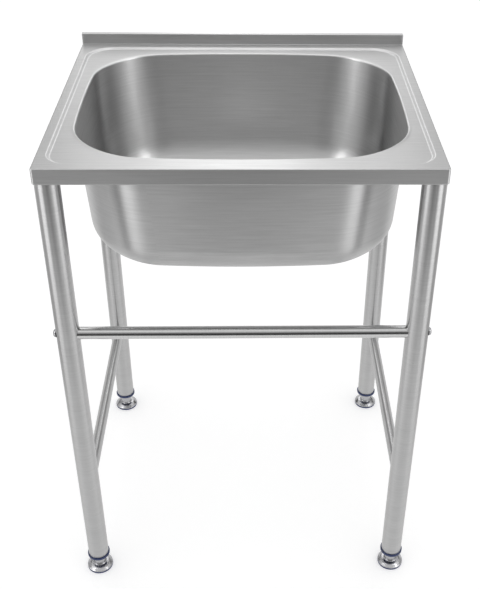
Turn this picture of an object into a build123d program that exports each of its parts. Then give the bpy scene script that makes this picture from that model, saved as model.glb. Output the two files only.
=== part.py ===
"""Utility laundry sink: a pressed steel sink top on a bolt-together tube stand with screw feet.

The origin is on the floor, midway between the front of the front feet and the rear edge of
the top. +X is the user's right as they stand at the sink, +Y is towards the wall, +Z is up.
All sizes are in millimetres.
"""
import os
from math import cos, radians, sqrt, tan

from build123d import *

os.makedirs("parts", exist_ok=True)

# ---- Sink top: one sheet, pressed and folded ----
top_width = 610
top_depth = 535
deck_height = 876
sheet = 1.2
apron_depth = 25.5
apron_corner = 4
edge_fold = 2
hem_return = 12

upstand_height = 20
upstand_thickness = 10
upstand_bend = 2.5

# The deck is pressed lower inside a raised border, so spills run into the bowl.
border_side = 14
border_front = 17
border_rear = 26
step_drop = 3
step_run = 7
step_bend = 6
step_corner_rear = 51
step_corner_front = 37

# Bowl, measured inside the sheet: its mouth leaves a ledge of deck on each side of the top,
# and its four sides swell outwards by the bows. Its corners open out towards the foot.
ledge_side = 39
ledge_front = 40.5
ledge_rear = 51.5
bowl_depth = 219
bowl_corner = 110
bowl_foot_corner = 117
bowl_bow_long = 16
bowl_bow_short = 10
bowl_draft = 3.25
bowl_knuckle = 55
rim_bend = 3

# The floor falls to a dished seat, where a 3 1/2 inch basket strainer sits in the waste hole.
fall_margin = 22
fall_drop = 3
seat_radius = 58
seat_slope = 4
seat_drop = 5
outlet_diameter = 89

# ---- Stand ----
leg_diameter = 38.1
leg_wall = 1.5
leg_inset_side = 18
leg_inset_front = 20
leg_inset_rear = 35

rail_diameter = 21
rail_wall = 1.2
cross_rail_height = 569
side_rail_height = 220
joint_gap = 0.05

# Threaded plugs in the ends of the cross rails, and the bolts that pull the legs to them.
plug_length = 24
plug_setback = 4
plug_clearance = 0.1
rail_bolt_diameter = 8
rail_bolt_length = 60
rail_bolt_head = 14
rail_bolt_head_height = 4.4
rail_bolt_dome = 3.9
rail_bolt_key = 5
rail_bolt_key_depth = 2.6

# Leg sockets: a corner plate inside the apron with a spigot that the leg slides over.
socket_plate = 3
socket_margin = 5
socket_chamfer = 16
socket_hem_gap = 1
spigot_length = 55
spigot_wall = 2
spigot_clearance = 0.15

# One screw holds each leg on its spigot, in a nut welded inside the spigot.
leg_screw_drop = 28
leg_screw_diameter = 6
leg_screw_length = 12
leg_screw_head = 10.5
leg_screw_head_height = 3.3
leg_screw_dome = 2.9
leg_screw_key = 4
leg_screw_key_depth = 2
leg_nut_width = 10
leg_nut_height = 5

bolt_hole_clearance = 0.2
thread_clearance = 0.05

# ---- Feet ----
insert_standing = 34.3
insert_flange_diameter = 42
insert_flange_height = 4.2
insert_depth = 30
insert_wall = 2.4
insert_boss = 18
insert_web = 2
insert_webs = 6
insert_rib_depth = 0.6
insert_ribs = 3
insert_clearance = 0.1

foot_travel = 25
foot_seat_gap = 0.2
stem_diameter = 12
stem_grip = 36
stem_clearance = 0.05
stem_point = 1
neck_diameter = 23
neck_edge = 1
bell_diameter = 48.6
bell_rim_height = 4.5
bell_rim_land = 1
bell_height = 10.5
bell_crown = 1.3
pad_diameter = 48
pad_height = 2.2
pad_edge = 0.6

# ---- Places that follow from the sizes above ----
apron_bottom = deck_height - apron_depth
step_level = deck_height - step_drop
front_overhang = max(bell_diameter / 2 - leg_inset_front, 0)
front_edge = (front_overhang - top_depth) / 2
rear_edge = front_edge + top_depth
bowl_y = (front_edge + ledge_front + rear_edge - ledge_rear) / 2
bowl_length = top_width - 2 * ledge_side
bowl_breadth = top_depth - ledge_front - ledge_rear
bowl_lean = bowl_depth * tan(radians(bowl_draft))
fall_radius = bowl_breadth / 2 - bowl_lean - bowl_knuckle - fall_margin

leg_radius = leg_diameter / 2
leg_bore = leg_radius - leg_wall
leg_bottom = insert_standing + insert_flange_height
leg_x = top_width / 2 - leg_inset_side
rail_radius = rail_diameter / 2

sides = {"left": -1, "right": 1}
edges = {"front": front_edge, "rear": rear_edge}
inward = {"front": 1, "rear": -1}
rows = {"front": front_edge + leg_inset_front, "rear": rear_edge - leg_inset_rear}
corners = [(row, side) for row in rows for side in sides]


def save(piece, name):
    """Labels a finished piece and writes it under its own name."""
    piece.part.label = name
    export_step(piece.part, f"parts/{name}.step")


def level_face(form, height):
    """The flat horizontal face of a form at a height."""
    flat = form.faces().filter_by(Axis.Z)
    return flat.filter_by(lambda face: abs(face.center().Z - height) < 0.01)[0]


# ---------------------------------------------------------------- sink top
def step_plan(inset):
    """Outline of the pressed step, with its sides moved in by inset."""
    front = front_edge + border_front + inset
    rear = rear_edge - border_rear - inset
    with BuildSketch() as plan:
        with Locations((0, (front + rear) / 2)):
            Rectangle(top_width - 2 * (border_side + inset), rear - front)
        fillet(plan.vertices().group_by(Axis.Y)[-1], step_corner_rear - inset)
        fillet(plan.vertices().group_by(Axis.Y)[0], step_corner_front - inset)
    return plan.sketch


def top_form(inset):
    """The filled form of deck, apron and upstand, with every face moved in by inset.

    The sheet of the top is what lies between this form at no inset and at the sheet's
    thickness.
    """
    deck = deck_height - inset
    upstand_front = rear_edge - upstand_thickness + inset
    with BuildPart() as form:
        # Deck and upstand are one profile, as long as the top is wide.
        with BuildSketch(Plane.YZ) as profile:
            with BuildLine():
                Polyline(
                    (front_edge + inset, apron_bottom),
                    (front_edge + inset, deck),
                    (upstand_front, deck),
                    (upstand_front, deck + upstand_height),
                    (rear_edge - inset, deck + upstand_height),
                    (rear_edge - inset, apron_bottom),
                    close=True,
                )
            make_face()
            bend = profile.vertices().sort_by_distance((upstand_front, deck))[0]
            fillet(bend, upstand_bend + inset)
        extrude(amount=top_width / 2 - inset, both=True)
        # The corners of the apron are round, and so is every fold above them.
        corner_edges = form.edges().filter_by(lambda e: e.bounding_box().min.Z < apron_bottom + 0.01)
        fillet(corner_edges.filter_by(Axis.Z), apron_corner - inset)
        folds = form.edges().filter_by(lambda e: e.bounding_box().min.Z > apron_bottom + 0.01)
        bend_lines = folds.filter_by(Axis.X).sort_by_distance((0, upstand_front, deck))[:2]
        fillet(folds - bend_lines, edge_fold - inset)
        # The step is pressed down inside the border.
        with BuildSketch(Plane.XY.offset(deck)):
            add(step_plan(0))
        with BuildSketch(Plane.XY.offset(deck - step_drop)):
            add(step_plan(step_run))
        loft(mode=Mode.SUBTRACT)
        fillet(level_face(form, deck).inner_wires()[0].edges(), step_bend)
        fillet(level_face(form, deck - step_drop).outer_wire().edges(), step_bend)
    return form.part


def bowl_plan(growth, corner):
    """Outline of the bowl at one level, with its sides moved out by growth."""
    half_length = bowl_length / 2 + growth
    half_breadth = bowl_breadth / 2 + growth
    x = half_length - bowl_bow_short
    y = half_breadth - bowl_bow_long
    with BuildSketch() as plan:
        with BuildLine():
            ThreePointArc((-x, -y), (0, -half_breadth), (x, -y))
            ThreePointArc((x, -y), (half_length, 0), (x, y))
            ThreePointArc((x, y), (0, half_breadth), (-x, y))
            ThreePointArc((-x, y), (-half_length, 0), (-x, -y))
        make_face()
        fillet(plan.vertices(), corner + growth)
    return plan.sketch


def bowl_form(growth):
    """The filled form of the bowl, with its sides and floor moved out by growth."""
    floor = bowl_depth + growth
    with BuildPart() as form:
        # The bowl is drawn upside down on its mouth, where its sides lean in as they rise.
        with BuildSketch():
            add(bowl_plan(growth, bowl_corner))
        with BuildSketch(Plane.XY.offset(floor)):
            add(bowl_plan(growth - bowl_lean, bowl_foot_corner + bowl_lean))
        loft(ruled=True)
        fillet(level_face(form, floor).edges(), bowl_knuckle + growth)
        # The fall of the floor and the dished seat of the waste.
        with BuildSketch(Plane.XZ):
            with BuildLine():
                Polyline(
                    (0, bowl_depth / 2),
                    (fall_radius, bowl_depth / 2),
                    (fall_radius, floor),
                    (seat_radius + seat_slope + growth, floor + fall_drop),
                    (seat_radius + growth, floor + fall_drop + seat_drop),
                    (0, floor + fall_drop + seat_drop),
                    close=True,
                )
            make_face()
        revolve(axis=Axis.Z)
    return Pos(0, bowl_y, step_level) * Rot(180, 0, 0) * form.part


with BuildPart() as sink_top:
    add(top_form(0))
    add(top_form(sheet), mode=Mode.SUBTRACT)
    add(bowl_form(sheet))
    add(bowl_form(0), mode=Mode.SUBTRACT)
    # The deck rolls over the rim of the bowl.
    fillet(level_face(sink_top, step_level).inner_wires()[0].edges(), rim_bend)
    fillet(level_face(sink_top, step_level - sheet).inner_wires()[0].edges(), rim_bend - sheet)
    with Locations((0, bowl_y, step_level)):
        Hole(outlet_diameter / 2)
    # The apron's lower edge returns inwards between the legs, which keeps it straight and safe.
    hem_y = sum(rows.values()) / 2
    clear = leg_radius + socket_margin + socket_hem_gap
    with BuildSketch(Plane.XY.offset(apron_bottom)):
        with Locations((0, front_edge + hem_return / 2), (0, rear_edge - hem_return / 2)):
            Rectangle(2 * (leg_x - clear), hem_return)
        with Locations(
            (-top_width / 2 + hem_return / 2, hem_y),
            (top_width / 2 - hem_return / 2, hem_y),
        ):
            Rectangle(hem_return, rows["rear"] - rows["front"] - 2 * clear)
    extrude(amount=sheet)
save(sink_top, "sink_top")


# ---------------------------------------------------------------- legs and rails
def inward_hole(row, side, height):
    """Plane on a leg's axis at a height, looking towards the middle of the stand along Y."""
    return Plane((sides[side] * leg_x, rows[row], height), x_dir=(1, 0, 0), z_dir=(0, inward[row], 0))


def outward_hole(row, side, height):
    """Plane on a leg's axis at a height, looking away from the stand along X."""
    return Plane((sides[side] * leg_x, rows[row], height), x_dir=(0, 1, 0), z_dir=(sides[side], 0, 0))


leg_screw_height = apron_bottom - leg_screw_drop

for row, side in corners:
    with BuildPart() as leg:
        with BuildSketch(Plane((sides[side] * leg_x, rows[row], leg_bottom))):
            Circle(leg_radius)
            Circle(leg_bore, mode=Mode.SUBTRACT)
        extrude(amount=apron_bottom - leg_bottom)
        with BuildSketch(outward_hole(row, side, cross_rail_height)):
            Circle(rail_bolt_diameter / 2 + bolt_hole_clearance)
        extrude(amount=leg_radius, both=True, mode=Mode.SUBTRACT)
        with BuildSketch(inward_hole(row, side, leg_screw_height)):
            Circle(leg_screw_diameter / 2 + bolt_hole_clearance)
        extrude(amount=leg_radius, mode=Mode.SUBTRACT)
    save(leg, f"leg_{row}_{side}")


def coped_rail(start, direction, length):
    """A tube between two upright legs, its ends cut to sit round them."""
    axis = Plane(start, z_dir=direction)
    with BuildPart() as rail:
        with BuildSketch(axis):
            Circle(rail_radius)
            Circle(rail_radius - rail_wall, mode=Mode.SUBTRACT)
        extrude(amount=length)
        with Locations(axis.origin, axis.offset(length).origin):
            Cylinder(leg_radius + joint_gap, 2 * rail_diameter, mode=Mode.SUBTRACT)
    return rail


for side, sign in sides.items():
    reach = rows["rear"] - rows["front"]
    side_rail = coped_rail((sign * leg_x, rows["front"], side_rail_height), (0, 1, 0), reach)
    save(side_rail, f"side_rail_{side}")

for row, y in rows.items():
    cross_rail = coped_rail((-leg_x, y, cross_rail_height), (1, 0, 0), 2 * leg_x)
    save(cross_rail, f"{row}_rail")


# ---------------------------------------------------------------- cross rail fixings
def button_head_bolt(diameter, length, head, head_height, dome, key, key_depth):
    """A bolt along Z with the underside of its domed head on the ground plane."""
    with BuildPart() as bolt:
        with BuildSketch():
            Circle(head / 2)
        extrude(amount=head_height)
        fillet(bolt.edges().sort_by(Axis.Z)[-1], dome)
        with BuildSketch():
            Circle(diameter / 2)
        extrude(amount=-length)
        with BuildSketch(Plane.XY.offset(head_height)):
            RegularPolygon(key / 2, 6, major_radius=False)
        extrude(amount=-key_depth, mode=Mode.SUBTRACT)
    return bolt.part


rail_bolt = button_head_bolt(
    rail_bolt_diameter,
    rail_bolt_length,
    rail_bolt_head,
    rail_bolt_head_height,
    rail_bolt_dome,
    rail_bolt_key,
    rail_bolt_key_depth,
)
with BuildPart() as rail_bolts:
    heads = [outward_hole(row, side, cross_rail_height).offset(leg_radius) for row, side in corners]
    with Locations(*[Location(plane) for plane in heads]):
        add(rail_bolt)
save(rail_bolts, "rail_bolts")

with BuildPart() as rail_plugs:
    for row, side in corners:
        outer_end = outward_hole(row, side, cross_rail_height).offset(-leg_radius - plug_setback)
        with BuildSketch(outer_end):
            Circle(rail_radius - rail_wall - plug_clearance)
            Circle(rail_bolt_diameter / 2 + thread_clearance, mode=Mode.SUBTRACT)
        extrude(amount=-plug_length)
save(rail_plugs, "rail_plugs")


# ---------------------------------------------------------------- leg sockets
spigot_radius = leg_bore - spigot_clearance
spigot_bore = spigot_radius - spigot_wall

for row, side in corners:
    x, y = sides[side] * leg_x, rows[row]
    apron_x = sides[side] * (top_width / 2 - sheet - joint_gap)
    apron_y = edges[row] + inward[row] * (sheet + joint_gap)
    inner_x = x - sides[side] * (leg_radius + socket_margin)
    inner_y = y + inward[row] * (leg_radius + socket_margin)
    with BuildPart() as socket:
        with BuildSketch(Plane.XY.offset(apron_bottom)) as plate:
            with Locations(((apron_x + inner_x) / 2, (apron_y + inner_y) / 2)):
                Rectangle(abs(apron_x - inner_x), abs(apron_y - inner_y))
            fillet(plate.vertices().sort_by_distance((apron_x, apron_y))[0], apron_corner - sheet)
            chamfer(plate.vertices().sort_by_distance((inner_x, inner_y))[0], socket_chamfer)
        extrude(amount=socket_plate)
        with BuildSketch(Plane((x, y, apron_bottom))):
            Circle(spigot_radius)
            Circle(spigot_bore, mode=Mode.SUBTRACT)
        extrude(amount=-spigot_length)
        with BuildSketch(inward_hole(row, side, leg_screw_height)):
            Circle(leg_screw_diameter / 2 + bolt_hole_clearance)
        extrude(amount=leg_radius, mode=Mode.SUBTRACT)
    save(socket, f"leg_socket_{row}_{side}")

leg_screw = button_head_bolt(
    leg_screw_diameter,
    leg_screw_length,
    leg_screw_head,
    leg_screw_head_height,
    leg_screw_dome,
    leg_screw_key,
    leg_screw_key_depth,
)
with BuildPart() as leg_screws:
    heads = [inward_hole(row, side, leg_screw_height).offset(leg_radius) for row, side in corners]
    with Locations(*[Location(plane) for plane in heads]):
        add(leg_screw)
save(leg_screws, "leg_screws")

# The nut's corners rest on the curved wall inside the spigot.
nut_half_diagonal = leg_nut_width / 2 / cos(radians(30))
nut_seat = sqrt(spigot_bore**2 - nut_half_diagonal**2) - joint_gap
with BuildPart() as leg_nuts:
    for row, side in corners:
        with BuildSketch(inward_hole(row, side, leg_screw_height).offset(nut_seat)):
            RegularPolygon(leg_nut_width / 2, 6, major_radius=False)
            Circle(leg_screw_diameter / 2 + thread_clearance, mode=Mode.SUBTRACT)
        extrude(amount=-leg_nut_height)
save(leg_nuts, "leg_nuts")


# ---------------------------------------------------------------- feet
def foot_insert():
    """Moulded insert that closes a leg's end and carries the stem, with its flange at Z 0."""
    body_radius = leg_bore - insert_clearance
    bore = stem_diameter / 2 + stem_clearance
    top = insert_flange_height + insert_depth
    with BuildPart() as insert:
        with BuildSketch():
            Circle(insert_flange_diameter / 2)
        extrude(amount=insert_flange_height)
        with BuildSketch():
            Circle(body_radius - insert_rib_depth)
        extrude(amount=top)
        # Ribs round the outside grip the bore of the leg.
        pitch = insert_depth / (insert_ribs + 1)
        for rib in range(insert_ribs):
            height = insert_flange_height + pitch * (rib + 1)
            with BuildSketch(Plane.XY.offset(height)):
                Circle(body_radius)
            extrude(amount=insert_rib_depth * 2)
        # The middle is a boss, joined to the outer wall by webs.
        with BuildSketch(Plane.XY.offset(insert_flange_height)):
            Circle(body_radius - insert_rib_depth - insert_wall)
            Circle(insert_boss / 2, mode=Mode.SUBTRACT)
            with PolarLocations(body_radius / 2, insert_webs):
                Rectangle(body_radius, insert_web, mode=Mode.SUBTRACT)
        extrude(amount=insert_depth, mode=Mode.SUBTRACT)
        Hole(bore)
    return insert.part


def screw_foot():
    """Chromed foot: bell, neck and stem, with the floor at Z 0."""
    neck = neck_diameter / 2
    bell = bell_diameter / 2
    stem = stem_diameter / 2
    neck_top = insert_standing - foot_seat_gap
    # Wound right out, the stem still reaches into the insert by the grip.
    stem_top = insert_standing + foot_travel + stem_grip
    with BuildPart() as foot:
        with BuildSketch(Plane.XZ):
            with BuildLine():
                SagittaArc((bell, bell_rim_height + bell_rim_land), (neck, bell_height), -bell_crown)
                Polyline(
                    (neck, bell_height),
                    (neck, neck_top - neck_edge),
                    (neck - neck_edge, neck_top),
                    (stem, neck_top),
                    (stem, stem_top - stem_point),
                    (stem - stem_point, stem_top),
                    (0, stem_top),
                    (0, pad_height),
                    (pad_diameter / 2, pad_height),
                    (bell, bell_rim_height),
                    (bell, bell_rim_height + bell_rim_land),
                )
            make_face()
        revolve(axis=Axis.Z)
    return foot.part


def foot_pad():
    """Plastic pad under the bell."""
    with BuildPart() as pad:
        with BuildSketch():
            Circle(pad_diameter / 2)
        extrude(amount=pad_height)
        chamfer(pad.edges().sort_by(Axis.Z)[0], pad_edge)
    return pad.part


insert_master = foot_insert()
foot_master = screw_foot()
pad_master = foot_pad()

for row, side in corners:
    x, y = sides[side] * leg_x, rows[row]
    with BuildPart() as insert:
        with Locations((x, y, insert_standing)):
            add(insert_master)
    save(insert, f"foot_insert_{row}_{side}")
    with BuildPart() as foot:
        with Locations((x, y, 0)):
            add(foot_master)
    save(foot, f"foot_{row}_{side}")
    with BuildPart() as pad:
        with Locations((x, y, 0)):
            add(pad_master)
    save(pad, f"foot_pad_{row}_{side}")
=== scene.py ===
"""Looks of the utility laundry sink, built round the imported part.

Everything is in metres in the part's frame: +X to the user's right, +Y to the wall, +Z up.
"""

from math import atan, atan2, cos, pi, radians, sin, tan

import bmesh
import bpy
from mathutils import Matrix, Vector


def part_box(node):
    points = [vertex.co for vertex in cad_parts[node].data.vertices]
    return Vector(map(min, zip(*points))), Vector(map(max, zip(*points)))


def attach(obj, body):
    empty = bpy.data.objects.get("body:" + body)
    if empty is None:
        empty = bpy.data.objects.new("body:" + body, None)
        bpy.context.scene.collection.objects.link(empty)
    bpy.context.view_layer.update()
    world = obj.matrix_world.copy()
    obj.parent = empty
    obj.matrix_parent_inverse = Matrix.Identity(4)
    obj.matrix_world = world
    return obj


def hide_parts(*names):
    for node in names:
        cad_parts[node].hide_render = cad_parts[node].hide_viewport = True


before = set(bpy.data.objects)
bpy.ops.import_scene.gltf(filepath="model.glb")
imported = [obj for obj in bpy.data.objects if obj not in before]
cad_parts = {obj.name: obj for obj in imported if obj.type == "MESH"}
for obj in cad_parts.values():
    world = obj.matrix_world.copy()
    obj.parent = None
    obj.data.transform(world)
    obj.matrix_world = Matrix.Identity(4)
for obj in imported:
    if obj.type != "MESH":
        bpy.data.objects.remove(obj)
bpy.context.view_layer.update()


# ------------------------------------------------------------------ camera
# The photograph was taken from in front of the sink, well above the bowl, a little right of its
# middle. The place and angles come from a fit to the straight edges of the top and the legs.
PHOTO_HEIGHT = 589
FOCAL_PIXELS = 934.7
CENTRE_SHIFT_PIXELS = 38.4
EYE = Vector((0.0132, -1.4813, 1.4882))
YAW = radians(2.01)
PITCH = radians(34.33)
ROLL = radians(0.91)

scene = bpy.context.scene
camera_data = bpy.data.cameras.new("photo_camera")
camera_data.sensor_width = 36
camera_data.lens = FOCAL_PIXELS / PHOTO_HEIGHT * camera_data.sensor_width
camera_data.shift_x = -CENTRE_SHIFT_PIXELS / PHOTO_HEIGHT
camera = bpy.data.objects.new("photo_camera", camera_data)
turn = Matrix.Rotation(-YAW, 4, "Z") @ Matrix.Rotation(pi / 2 - PITCH, 4, "X")
camera.matrix_world = Matrix.Translation(EYE) @ turn @ Matrix.Rotation(ROLL, 4, "Z")
scene.collection.objects.link(camera)
scene.camera = camera


# ------------------------------------------------------------------ studio
# The sink stands on white paper in an even light from all round, a little below white. The camera
# and mirrors see both as plain white, and the paper keeps the sink's soft shadow.
WORLD_LIGHT = 0.85
WORLD_SEEN = 1.0
PAPER_REACH = 12
PAPER_GLOW = 0.4


def linear(code):
    """An sRGB hex colour as linear red, green, blue and alpha."""
    channels = [int(code[i : i + 2], 16) / 255 for i in (1, 3, 5)]
    return [c / 12.92 if c <= 0.04045 else ((c + 0.055) / 1.055) ** 2.4 for c in channels] + [1]


def add_node(tree, kind, settings=None, links=None, values=None):
    """Adds a node, sets its properties and inputs, and links outputs into its inputs."""
    node = tree.nodes.new(kind)
    for name, value in (settings or {}).items():
        setattr(node, name, value)
    for name, value in (values or {}).items():
        node.inputs[name].default_value = value
    for name, source in (links or {}).items():
        tree.links.new(source, node.inputs[name])
    return node


def new_material(name):
    """An empty material and its node tree."""
    material = bpy.data.materials.new(name)
    material.use_nodes = True
    material.node_tree.nodes.clear()
    return material, material.node_tree


scene.view_settings.view_transform = "Standard"

world = bpy.data.worlds.new("studio")
scene.world = world
world.use_nodes = True
world.node_tree.nodes.clear()
rays = add_node(world.node_tree, "ShaderNodeLightPath")
seen = rays.outputs["Is Camera Ray"]
for kind in ("Is Glossy Ray", "Is Transmission Ray"):
    seen = add_node(
        world.node_tree,
        "ShaderNodeMath",
        {"operation": "MAXIMUM"},
        {0: seen, 1: rays.outputs[kind]},
    ).outputs[0]
level = add_node(
    world.node_tree,
    "ShaderNodeMapRange",
    links={"Value": seen},
    values={"To Min": WORLD_LIGHT, "To Max": WORLD_SEEN},
)
sky = add_node(
    world.node_tree,
    "ShaderNodeBackground",
    links={"Strength": level.outputs[0]},
    values={"Color": linear("#FFFFFF")},
)
add_node(world.node_tree, "ShaderNodeOutputWorld", links={"Surface": sky.outputs[0]})

# Matt white paper. To the camera it glows a little, so that it reaches white round the shadow.
paper_material, tree = new_material("paper_sweep")
rays = add_node(tree, "ShaderNodeLightPath")
paper = add_node(tree, "ShaderNodeBsdfDiffuse", values={"Color": linear("#E8E8E8")})
brightening = add_node(
    tree,
    "ShaderNodeMath",
    {"operation": "MULTIPLY"},
    {0: rays.outputs["Is Camera Ray"]},
    {1: PAPER_GLOW},
)
glow = add_node(
    tree,
    "ShaderNodeEmission",
    links={"Strength": brightening.outputs[0]},
    values={"Color": linear("#FFFFFF")},
)
lit = add_node(tree, "ShaderNodeAddShader", links={0: paper.outputs[0], 1: glow.outputs[0]})
white = add_node(tree, "ShaderNodeEmission", values={"Color": linear("#FFFFFF")})
mirrored = add_node(
    tree,
    "ShaderNodeMath",
    {"operation": "MAXIMUM"},
    {0: rays.outputs["Is Glossy Ray"], 1: rays.outputs["Is Transmission Ray"]},
)
seen = add_node(
    tree,
    "ShaderNodeMixShader",
    links={0: mirrored.outputs[0], 1: lit.outputs[0], 2: white.outputs[0]},
)
add_node(tree, "ShaderNodeOutputMaterial", links={"Surface": seen.outputs[0]})

mesh = bpy.data.meshes.new("paper")
paper_corners = [
    (x * PAPER_REACH, y * PAPER_REACH, 0) for x, y in ((-1, -1), (1, -1), (1, 1), (-1, 1))
]
mesh.from_pydata(paper_corners, [], [(0, 1, 2, 3)])
mesh.materials.append(paper_material)
floor = bpy.data.objects.new("paper", mesh)
scene.collection.objects.link(floor)


# Cards stand round the sink, and only reflections show them: bare metal looks like what it mirrors.
# Each has a level, where 1 is white, the angle of its middle from the front towards the right, the
# angle it spreads over, in degrees, and its two edges, each a distance and a height in metres.
CARD_DISTANCE = 3.0
CARD_STEPS = 12
CEILING = 3.4


def card(name, level, middle, spread_angle, inner, outer):
    """A curved card round the sink, between two points of its section (distance, height)."""
    material, tree = new_material(name)
    glow = add_node(
        tree, "ShaderNodeEmission", values={"Color": linear("#FFFFFF"), "Strength": level}
    )
    add_node(tree, "ShaderNodeOutputMaterial", links={"Surface": glow.outputs[0]})
    points = []
    for i in range(CARD_STEPS + 1):
        angle = radians(middle + spread_angle * (i / CARD_STEPS - 0.5))
        for distance, height in (inner, outer):
            points.append((distance * sin(angle), -distance * cos(angle), height))
    faces = [(2 * i, 2 * i + 2, 2 * i + 3, 2 * i + 1) for i in range(CARD_STEPS)]
    mesh = bpy.data.meshes.new(name)
    mesh.from_pydata(points, [], faces)
    mesh.materials.append(material)
    piece = bpy.data.objects.new(name, mesh)
    piece.visible_camera = False
    piece.visible_diffuse = False
    piece.visible_shadow = False
    scene.collection.objects.link(piece)


# The floor in front: a wide and a narrow pool of light, each in three rings that fade away from the
# sink, with two narrow dark strips across them. The bowl's outside and the rails mirror it.
POOL_RINGS = (1.0, 1.3, 1.65, CARD_DISTANCE)
for spread_angle, height, levels in (
    (68, 0.008, (1.2, 0.88, 0.38)),
    (26, 0.012, (1.1, 0.58, 0.18)),
):
    for level, near, far in zip(levels, POOL_RINGS, POOL_RINGS[1:]):
        card(f"floor_{spread_angle}_{near}", level, 0, spread_angle, (near, height), (far, height))
for middle, spread_angle in ((-4.3, 3.2), (2.3, 2.4)):
    card(f"tripod_leg_{middle}", 0, middle, spread_angle, (1.35, 0.016), (CARD_DISTANCE, 0.016))

# The room behind the camera, dark below and lighter above. It makes the dark stripes of the legs
# and the grey of the bowl's rear wall, the upstand and the apron.
card("flag_front", 0.05, 0, 60, (CARD_DISTANCE, 0.02), (CARD_DISTANCE, 0.9))
card("front_low", 0.18, 0, 86, (CARD_DISTANCE, 0.9), (CARD_DISTANCE, 1.9))
card("front_middle", 0.7, 0, 86, (CARD_DISTANCE, 1.9), (2.75, 3.3))
card("front_softbox", 1.1, 0, 110, (2.75, 3.3), (1.3, CEILING))

# The ceiling, brightest right above the sink. It lights the bowl's floor and the step's slopes.
card("overhead_front", 0.6, 0, 180, (1.3, CEILING), (0.5, CEILING))
card("overhead", 2.3, 0, 360, (0.5, CEILING), (0.01, CEILING))
card("overhead_rear", 1.8, 180, 180, (0.5, CEILING), (2.2, CEILING))

# A lit wall behind the sink makes the bright middle of the deck.
card("rear_centre", 2.45, 181.8, 15, (CARD_DISTANCE, 1.7), (2.2, 3.3))
card("rear_middle", 1.3, 181.8, 32, (CARD_DISTANCE + 0.1, 1.6), (2.3, 3.3))

# On both sides, softboxes and strips make the bright bands down the legs and the bowl's corners,
# a grey floor and wall the tones beside them, and a dark flag behind the lines at their edges.
for side in (-1, 1):
    card(f"softbox_{side}", 1.9, side * 54, 27, (1.5, 0.01), (CARD_DISTANCE, 1.3))
    card(f"softbox_high_{side}", 5.5, side * 64, 10, (CARD_DISTANCE, 1.3), (2.2, 3.8))
    card(f"strip_{side}", 4, side * 84, 5, (CARD_DISTANCE, 1.3), (2.2, 3.8))
    card(f"side_floor_{side}", 0.6, side * 92, 40, (0.85, 0.01), (1.8, 0.01))
    card(f"side_{side}", 0.65, side * 92, 46, (1.8, 0.01), (CARD_DISTANCE, 2.4))
    card(f"flag_rear_{side}", 0.04, side * 138, 50, (CARD_DISTANCE, 1.3), (CARD_DISTANCE, 2.5))


# ------------------------------------------------------------------ sink top
# One sheet of 1.2 mm stainless steel, deep drawn into the bowl, pressed with a shallow step and
# folded down at the edges and up at the back. Brushed along the width on the deck and round the
# walls of the bowl.
MM = 0.001
SHEET = 1.2 * MM

# The pressed step. It is a little steeper than the solid's, about the same line, so that its slope
# mirrors the studio as thin lines.
STEP_DROP = 3 * MM
STEP_RUN = 4.6 * MM
STEP_BEND = 3.5 * MM
BORDER_SIDE = 15.2 * MM
BORDER_FRONT = 18.2 * MM
BORDER_REAR = 27.2 * MM
STEP_CORNER_FRONT = 35.8 * MM
STEP_CORNER_REAR = 49.8 * MM

# The bowl, inside the sheet: the ledges of deck round its mouth, its depth, corners, swelling sides
# and draft, and the roundings at its foot and rim.
LEDGE_SIDE = 39 * MM
LEDGE_FRONT = 40.5 * MM
LEDGE_REAR = 51.5 * MM
BOWL_DEPTH = 219 * MM
BOWL_CORNER = 110 * MM
BOWL_FOOT_CORNER = 117 * MM
BOWL_BOW_LONG = 16 * MM
BOWL_BOW_SHORT = 10 * MM
BOWL_LEAN = 12.4 * MM
KNUCKLE = 55 * MM
RIM = 3 * MM

# The floor falls towards a dished seat with the waste hole. It is eased at each change of slope.
FALL_RADIUS = 132 * MM
FALL_DROP = 3 * MM
FALL_EASE = 10 * MM
FALL_EASE_DROP = 0.42 * MM
FALL_EDGE_DROP = 0.13 * MM
FALL_MIDDLE = 95 * MM
FALL_MIDDLE_SHARE = 0.43
SEAT_RADIUS = 58 * MM
SEAT_SLOPE = 4 * MM
SEAT_DROP = 5 * MM
SEAT_EASE = 1.2 * MM
SEAT_EASE_INSIDE = 0.4 * MM
SEAT_EASE_RISE = 0.5 * MM
OUTLET_RADIUS = 44.5 * MM
OUTLET_LAND = 4 * MM

# The folded edges: the upstand at the back, the apron and its rounded lip, and the hem under it.
UPSTAND_HEIGHT = 20 * MM
UPSTAND_THICKNESS = 10 * MM
APRON_DEPTH = 25.5 * MM
APRON_CORNER = 4 * MM
EDGE_FOLD = 1.6 * MM
UPSTAND_ROOT = 1.3 * MM
UPSTAND_FOLD = 1.7 * MM
LIP = 1.4 * MM
HEM = 12 * MM
HEM_HALF = 262 * MM
HEM_FRONT = -220 * MM
HEM_REAR = 209 * MM

# How finely the mesh follows the sides and corners of each ring, the bowl's wall and its
# roundings, and the folds and bends.
LONG_STEPS = 36
SHORT_STEPS = 28
CORNER_STEPS = 28
KNUCKLE_STEPS = 16
WALL_STEPS = 12
RIM_STEPS = 6
FOLD_STEPS = 5
BEND_STEPS = 4

top_low, top_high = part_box("sink_top")
half_width = top_high.x
front_edge = top_low.y
rear_edge = top_high.y
deck = top_high.z - UPSTAND_HEIGHT
pan = deck - STEP_DROP
upstand_front = rear_edge - UPSTAND_THICKNESS
apron_bottom = deck - APRON_DEPTH


def spread(start, end, steps):
    """Evenly spaced values from start up to, but not including, end."""
    return [start + (end - start) * i / steps for i in range(steps)]


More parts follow.
